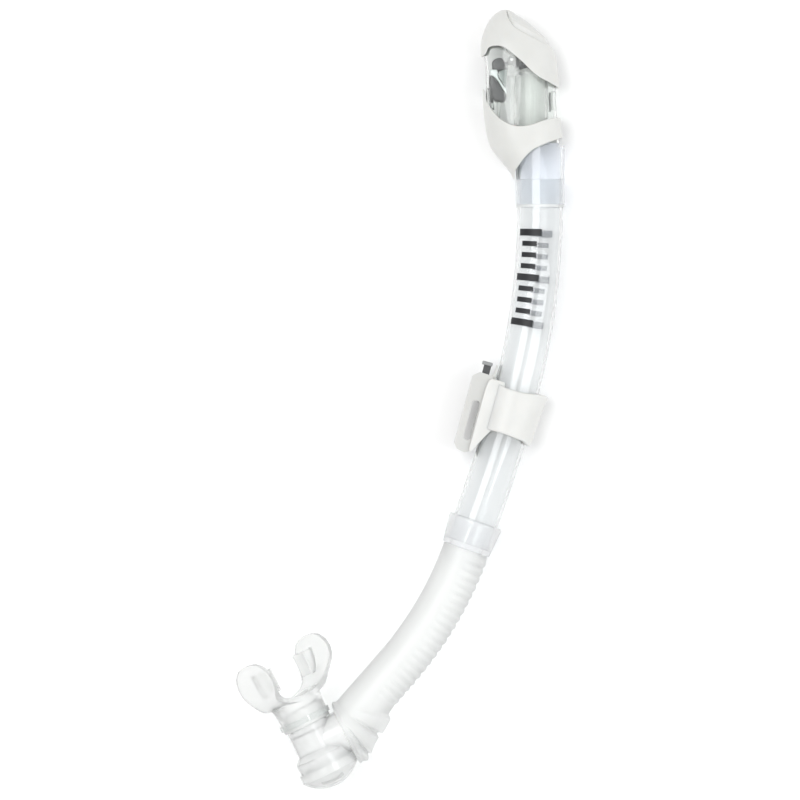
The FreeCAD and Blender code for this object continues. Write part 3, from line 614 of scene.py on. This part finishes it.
# ------------------------------------------------------------------ barrel and connector
def make_barrel():
    n = 128
    th = np.linspace(0, 2 * math.pi, n, endpoint=False)
    c, s = np.cos(th), np.sin(th)
    path = [(np.array([TOP_X, y]), np.array([0.0, -1.0])) for y in np.linspace(121.0, TOP_Y, 9)[:-1]]
    path += [(arc_point(C1, R1, t), tilt_dir(t)) for t in np.linspace(0, T1, 61)[:-1]]
    path += [(arc_point(C2, R2, t), tilt_dir(t)) for t in np.linspace(T1, T2, 46)[:-1]]
    path += [(P2 + D2 * v, D2) for v in np.linspace(0, 24.0, 16)]

    def ring(ctr, d, r):
        q = np.array([-d[1], d[0]])
        return np.column_stack([ctr[0] + q[0] * r * c, ctr[1] + q[1] * r * c, r * s])
    rows = [ring(ctr, d, 12.5) for ctr, d in path[1:-1]]
    ctr, d = path[-1]
    for a in (0, 30, 60, 90):
        rows.append(ring(ctr - d * 0.35 * (1 - math.sin(rad(a))), d, 12.15 + 0.35 * math.cos(rad(a))))
    rows.append(ring(ctr, d, 10.9))
    rows += [ring(ctr, d, 10.9) for ctr, d in path[-2:0:-1]]
    ctr, d = path[0]
    rows.append(ring(ctr, d, 10.9))
    for a in (90, 60, 30, 0):
        rows.append(ring(ctr + d * 0.35 * (1 - math.sin(rad(a))), d, 12.15 + 0.35 * math.cos(rad(a))))
    b = Build().ring_stack(rows, loop=True)
    return b.object("barrel_tube", "snorkel", M_BARREL, ("barrel",), "clear_shell", sharp=50)


def make_connector():
    n = 128
    th = np.linspace(0, 2 * math.pi, n, endpoint=False)
    c, s = np.cos(th), np.sin(th)
    prof = [(10.9, 12.55), (10.9, 14.2), (11.0, 14.55), (11.25, 14.8), (11.6, 14.95), (12.1, 15.0), (12.6, 15.0),
            (12.9, 14.95), (16.0, 14.64), (20.0, 14.24), (24.0, 13.84), (26.7, 13.57), (27.1, 13.45), (27.3, 13.2),
            (27.35, 12.9), (27.35, 10.3), (27.6, 10.2), (31.0, 10.15), (35.9, 10.1), (36.3, 9.9), (36.4, 9.5),
            (36.3, 9.0), (36.0, 8.95), (30.0, 9.02), (24.3, 9.1), (24.1, 9.2), (24.1, 12.4), (24.0, 12.55)]
    q = np.array([-D2[1], D2[0]])
    rows = []
    for v, r in prof:
        ctr = P2 + D2 * v
        rows.append(np.column_stack([ctr[0] + q[0] * r * c, ctr[1] + q[1] * r * c, r * s]))
    b = Build().ring_stack(rows, loop=True)
    return b.object("connector_shell", "snorkel", M_CONN, ("hose_connector",), "clear_shell", sharp=50)


make_barrel()
make_connector()


# ------------------------------------------------------------------ depth marks
def make_marks(name, mat, side, replaces, slot):
    """Curved bars printed on the barrel; side 1 is the near face, -1 the far face."""
    b = Build()
    for i in range(9):
        t = 2.15 + 0.9 * i
        long_bar = (i % 4 == 0)
        half = 0.56 if long_bar else 0.36       # half angle across the barrel, radians
        hw = 1.9 if long_bar else 1.4
        mid = rad(118.0) if side > 0 else rad(-82.0)
        c = arc_point(C1, R1, t)
        d = tilt_dir(t)
        q = np.array([-d[1], d[0]])             # to the right
        nA, nS = 18, 3
        rows = []
        for r in (12.5 + 0.02, 12.5 + 0.14):
            grid = []
            for s in np.linspace(-hw, hw, nS):
                for a in np.linspace(mid - half, mid + half, nA):
                    x = c + d * s + q * (r * math.cos(a))
                    grid.append((x[0], x[1], r * math.sin(a)))
            rows.append(grid)
        base = len(b.v)
        for grid in rows:
            b.v.extend(grid)
        m = nA * nS
        for layer in (0, 1):
            for j in range(nS - 1):
                for k in range(nA - 1):
                    a0 = base + layer * m + j * nA + k
                    b.f.append((a0, a0 + 1, a0 + 1 + nA, a0 + nA))
        for j in range(nS - 1):
            for k in (0, nA - 1):
                a0 = base + j * nA + k
                b.f.append((a0, a0 + nA, a0 + nA + m, a0 + m))
        for k in range(nA - 1):
            for j in (0, nS - 1):
                a0 = base + j * nA + k
                b.f.append((a0, a0 + 1, a0 + 1 + m, a0 + m))
    return b.object(name, "snorkel", mat, replaces, slot, sharp=30)


make_marks("height_marks_front", M_PRINT, 1, ("height_marks",), "black_print")
make_marks("height_marks_rear", M_PRINT2, -1, (), "black_print")


# ------------------------------------------------------------------ keeper
def make_keeper():
    b = Build()
    n = 120
    bore = 12.6
    rows_o, rows_i = [], []
    th = np.linspace(0, 2 * math.pi, n, endpoint=False)       # 0 = clip side, 90 = out of the plane
    c = np.cos(th)
    away = sstep(0.2, 1.0, -c)
    near = sstep(0.55, 0.95, c)
    top = 12.6 + 1.7 * away + 1.5 * sstep(0.35, 0.8, c)
    bot = -(12.0 + 1.2 * sstep(-0.2, 0.9, -c) + 1.8 * sstep(0.7, 0.98, -c))

    def radius(u):
        flare = (0.35 + 2.2 * u ** 1.6) * away
        return 15.3 + flare

    def ring(x, r):
        # the barrel's own bend inside the sleeve
        sag = x * x / (2 * R2)
        y = r * np.cos(th)
        y = np.where((np.abs(r * np.sin(th)) < 9.4) & (y > 13.9), 13.9, y)
        return keeper(np.column_stack([x, y + sag, r * np.sin(th)]))
    rows = []
    lip = 0.7
    m = 26
    for i in range(m):
        u = i / (m - 1)
        x = bot + lip + (top - bot - 2 * lip) * u
        rows.append(ring(x, radius(u)))
    for j in range(1, 6):
        f = math.pi * j / 6
        r = radius(1.0) + (bore - radius(1.0)) * (1 - math.cos(f)) / 2
        rows.append(ring(top - lip + lip * math.sin(f), r))
    for i in range(m):
        u = 1 - i / (m - 1)
        x = bot + lip + (top - bot - 2 * lip) * u
        rows.append(ring(x, np.full(n, bore)))
    for j in range(1, 6):
        f = math.pi * j / 6
        r = radius(0.0) + (bore - radius(0.0)) * (1 + math.cos(f)) / 2
        rows.append(ring(bot + lip - lip * math.sin(f), r))
    b.ring_stack(rows, loop=True)
    # raised boss that carries the latch tab, with a soft top
    boss = [(10.0, 12.65), (15.5, 12.65), (18.6, 13.0), (18.8, 14.6), (17.6, 15.2), (10.0, 15.2)]
    b.prism(boss, -5.0, 5.0, keeper)
    cheek = [(15.4, 7.4), (15.6, 14.0), (15.0, 15.6), (13.4, 16.4), (10.0, 16.9), (2.0, 17.0), (-12.0, 17.0),
             (-23.8, 17.0), (-25.6, 16.8), (-26.4, 15.9), (-25.2, 15.0), (-18.2, 11.4), (-13.6, 8.9), (-11.6, 7.4),
             (-8.0, 6.8), (4.0, 6.8), (12.0, 6.8)]
    for z0, z1 in ((9.4, 11.3), (-11.3, -9.4)):
        rings = [keeper(r) for r in pillow(cheek, z0, z1, 0.5, 3)]
        b.ring_stack(rings, True, True)
    rail = [(-11.9, 13.5), (9.3, 13.5), (9.3, 16.2), (-11.9, 16.2)]
    b.prism(rail, -3.6, 3.6, keeper)
    return b.object("keeper_band", "keeper", M_KEEP, ("keeper_sleeve",), "white_shell", sharp=38)


make_keeper()


def make_button():
    b = Build()
    out = rounded_rect(16.5, 22.3, -4.6, 4.6, 1.0)
    prof = [(21.9, 0.35), (22.2, 0.0), (23.6, 0.0), (23.9, 0.25), (24.0, 0.7)]
    rows = []
    o = np.array(out)
    cc = (o.max(0) + o.min(0)) / 2
    h = (o.max(0) - o.min(0)) / 2
    for x, ins in prof:
        q = cc + (o - cc) * ((h - ins) / h)
        rows.append(keeper(np.column_stack([np.full(len(q), x), q[:, 0], q[:, 1]])))
    b.ring_stack(rows, True, True)
    return b.object("release_button_cap", "button", M_GREY, ("release_button",), "grey_plastic", sharp=40)


make_button()


def make_spring():
    turns, r, w = 10.6 / 1.9, 1.42, 0.26
    m, n = 150, 10
    ph = np.linspace(0, 2 * math.pi, n, endpoint=False)
    rows = []
    for a in np.linspace(0, 2 * math.pi * turns, m):
        x = 4.6 + 10.5 * a / (2 * math.pi * turns)
        rr = r + w * np.cos(ph)
        rows.append(keeper(np.column_stack([x + w * np.sin(ph), 18.95 + rr * math.cos(a), rr * math.sin(a)])))
    b = Build().ring_stack(rows, True, True)
    o = b.object("return_spring", "clip", M_STEEL, ("button_spring",), None, sharp=0)
    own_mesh(o)
    return o


make_spring()


# ------------------------------------------------------------------ hose
INNER = np.array([-37.4, -166.7])        # inner corner that the elbow's pleats fan from


def hose_path():
    """centre, direction, run length, inner and outer radius of each ring"""
    out = []
    s = 0.0
    n1 = 150
    arc = R3 * rad(T3 - T2)
    for i in range(n1):
        t = T2 + (T3 - T2) * i / n1
        out.append((arc_point(C3, R3, t), tilt_dir(t), arc * i / n1, 12.62, 12.62))
    s = arc
    n2 = 72
    for i in range(n2):
        f = i / n2
        grow = sstep(0.45, 1.0, f)
        out.append((P4 + D4 * 36.0 * f, D4, s + 36.0 * f, 12.62, 12.62 + 2.9 * grow))
    s += 36.0
    s2 = ch_point(-1.2, 17.4)
    n3 = 60
    L = float(np.linalg.norm(s2 - P5))
    for i in range(n3 + 1):
        f = i / n3
        # quadratic curve whose ends follow the two directions
        t0, t1 = 41.0, 64.0
        ctrl = P5 + D4 * (L * 0.5)
        c = P5 * (1 - f) ** 2 + ctrl * 2 * f * (1 - f) + s2 * f * f
        out.append((c, tilt_dir(t0 + (t1 - t0) * f), s + L * f, 12.62 + 3.7 * sstep(0.0, 1.0, f),
                    15.5 + 4.4 * sstep(0, 1, f)))
    return out


def make_hose():
    path = hose_path()
    n = 128
    th = np.linspace(0, 2 * math.pi, n, endpoint=False)       # 0 = right (outer) side, 90 = out of the plane
    c, s = np.cos(th), np.sin(th)
    rows = []
    right = sstep(0.02, 0.30, c)
    total = path[-1][2]
    for ctr, d, run, ri, ro in path:
        q = np.array([-d[1], d[0]])                            # to the right
        rm, off = (ri + ro) / 2, (ro - ri) / 2
        base = ctr + q * off
        x = base[0] + q[0] * rm * c
        y = base[1] + q[1] * rm * c
        z = rm * s
        # fine ribs down the right half
        fade = sstep(1.0, 5.0, run) * (1 - sstep(88.0, 97.0, run))
        ph = (run - 2.0) / 4.5
        rib = (0.5 - 0.5 * math.cos(2 * math.pi * ph)) ** 0.55
        r = rm + 1.0 * rib * right * fade - 0.35 * right * fade
        # broad pleats round the elbow
        fan = np.degrees(np.arctan2(y - INNER[1], x - INNER[0]))
        pleat = np.zeros(n)
        for a, w in ((-21.5, 9.4), (-44.0, 9.0), (-63.5, 8.4)):
            pleat = np.maximum(pleat, sstep(w + 1.5, w - 1.6, np.abs(fan - a)))
        on = sstep(78.0, 94.0, run) * sstep(-0.35, 0.75, c) * (1 - sstep(total - 2.4, total - 0.4, run))
        r = r + 2.4 * pleat * on + 0.1 * on
        rows.append(np.column_stack([base[0] + q[0] * r * c, base[1] + q[1] * r * c, r * s]))
    # rounded end face, then the bore back up
    ctr, d, run, ri, ro = path[-1]
    q = np.array([-d[1], d[0]])
    rm, off = (ri + ro) / 2, (ro - ri) / 2
    for k in range(1, 5):
        a = math.pi / 2 * k / 4
        r = rm - 1.0 + 1.0 * math.cos(a)
        cc = ctr + q * off + d * 0.8 * math.sin(a)
        rows.append(np.column_stack([cc[0] + q[0] * r * c, cc[1] + q[1] * r * c, r * s]))
    for r, dd in ((13.0, 0.8), (11.75, 0.5), (11.6, 0.2)):
        cc = ctr + d * dd
        rows.append(np.column_stack([cc[0] + q[0] * r * c, cc[1] + q[1] * r * c, r * s]))
    for ctr, d, run, ri, ro in path[::-1]:
        q = np.array([-d[1], d[0]])
        f = sstep(94.0, 118.0, run)
        r = 10.75 + 0.85 * f
        ph = (run - 2.0) / 4.5
        rib = (0.5 - 0.5 * math.cos(2 * math.pi * ph))
        fade = sstep(10.0, 14.0, run) * (1 - sstep(92.0, 100.0, run))
        rr = r + 0.3 * rib * fade * right
        rows.append(np.column_stack([ctr[0] + q[0] * rr * c, ctr[1] + q[1] * rr * c, rr * s]))
    b = Build().ring_stack(rows, loop=True)
    o = b.object("flex_hose_skin", "snorkel", M_HOSE, ("flex_hose",), "clear_silicone", sharp=60, ride=False)
    a = world([[P3[0], P3[1], 0.0]])[0]
    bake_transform(o)
    return o


make_hose()


# ------------------------------------------------------------------ mouthpiece
def soft_copy(name, node, body, mat, voxel, smooth, reshape):
    src = NODES[node]
    me = src.data.copy()
    me.name = name
    o = bpy.data.objects.new(name, me)
    scene.collection.objects.link(o)
    me.transform(src.matrix_world)
    r = o.modifiers.new("r", 'REMESH')
    r.mode = 'VOXEL'
    r.voxel_size = voxel * 0.001
    r.use_smooth_shade = True
    s = o.modifiers.new("s", 'SMOOTH')
    s.factor = 0.5
    s.iterations = smooth
    apply_modifiers(o)
    me = o.data
    co = np.zeros(len(me.vertices) * 3)
    me.vertices.foreach_get("co", co)
    co = co.reshape(-1, 3)
    inv = np.linalg.inv(PM)
    pl = co @ inv[:3, :3].T + inv[:3, 3]
    pl = reshape(pl)
    co = world(pl)
    me.vertices.foreach_set("co", co.ravel())
    me.update()
    me.shade_smooth()
    me.materials.clear()
    me.materials.append(mat)
    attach(o, body)
    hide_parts(node)
    return o


def slant(p):
    """Meant to lean the lips across, as an anatomic mouthpiece has them; the lean factor is 0.0, so the points come
    back unchanged.
    """
    rel = p - MPO
    w, v, m = rel @ MPX, rel @ MPY, rel @ MPZ
    k = sstep(20.0, 30.0, m)
    m2 = m + 0.0 * k * v
    return MPO + w[:, None] * MPX + v[:, None] * MPY + m2[:, None] * MPZ


soft_copy("mouthpiece_body", "mouthpiece", "mouth_end", M_MOUTH, 0.5, 6, slant)

# ------------------------------------------------------------------ floor, light, camera
m, nt, out, b = nodes_of("pale_floor")
v = coords(nt)
nt.links.new(two_tone(nt, noise(nt, v, 3.0, 2), (0.955, 0.955, 0.955), (0.965, 0.965, 0.965)), b.inputs["Base Color"])
b.inputs["Roughness"].default_value = 0.9
b.inputs["Specular IOR Level"].default_value = 0.1
nt.links.new(b.outputs["BSDF"], out.inputs["Surface"])
me = bpy.data.meshes.new("floor")
me.from_pydata([(-4, -4, 0), (4, -4, 0), (4, 4, 0), (-4, 4, 0)], [], [(0, 1, 2, 3)])
me.materials.append(m)
floor = bpy.data.objects.new("floor", me)
scene.collection.objects.link(floor)

w = bpy.data.worlds.new("studio")
w.use_nodes = True
bg = w.node_tree.nodes["Background"]
bg.inputs["Color"].default_value = (1.0, 1.0, 1.0, 1)
bg.inputs["Strength"].default_value = 0.745
scene.world = w


def area(name, loc, target, size, power, colour=(1, 1, 1), size_y=None):
    l = bpy.data.lights.new(name, 'AREA')
    l.energy = power
    l.size = size
    if size_y:
        l.shape = 'RECTANGLE'
        l.size_y = size_y
    l.color = colour
    o = bpy.data.objects.new(name, l)
    o.location = loc
    d = Vector(target) - Vector(loc)
    o.rotation_euler = d.to_track_quat('-Z', 'Y').to_euler()
    scene.collection.objects.link(o)
    return o


area("key", (-0.28, 0.24, 1.5), (0.0, 0.0, 0.0), 0.85, 8.9)
area("strip", (0.9, -0.1, 0.8), (0.02, 0.0, 0.0), 0.3, 3.4, (0.97, 0.988, 1.0), 1.0)

cam = bpy.data.cameras.new("camera")
cam.type = 'PERSP'
cam.sensor_width = 36.0
cam.lens = 240.0
cam.clip_end = 40.0
co = bpy.data.objects.new("camera", cam)
rot = PLANE.to_3x3().normalized()
origin = Vector(PLANE.translation)
z = rot @ Vector((0, 0, 1))
co.matrix_world = Matrix.Translation(origin + z * (0.44 * 240.0 / 36.0)) @ rot.to_4x4()
scene.collection.objects.link(co)
scene.camera = co

scene.view_settings.view_transform = 'Standard'
scene.view_settings.look = 'None'
scene.cycles.max_bounces = 24
scene.cycles.transmission_bounces = 20
scene.cycles.glossy_bounces = 6
scene.cycles.transparent_max_bounces = 32
scene.cycles.sample_clamp_indirect = 2.5
scene.cycles.caustics_reflective = False
scene.cycles.caustics_refractive = True
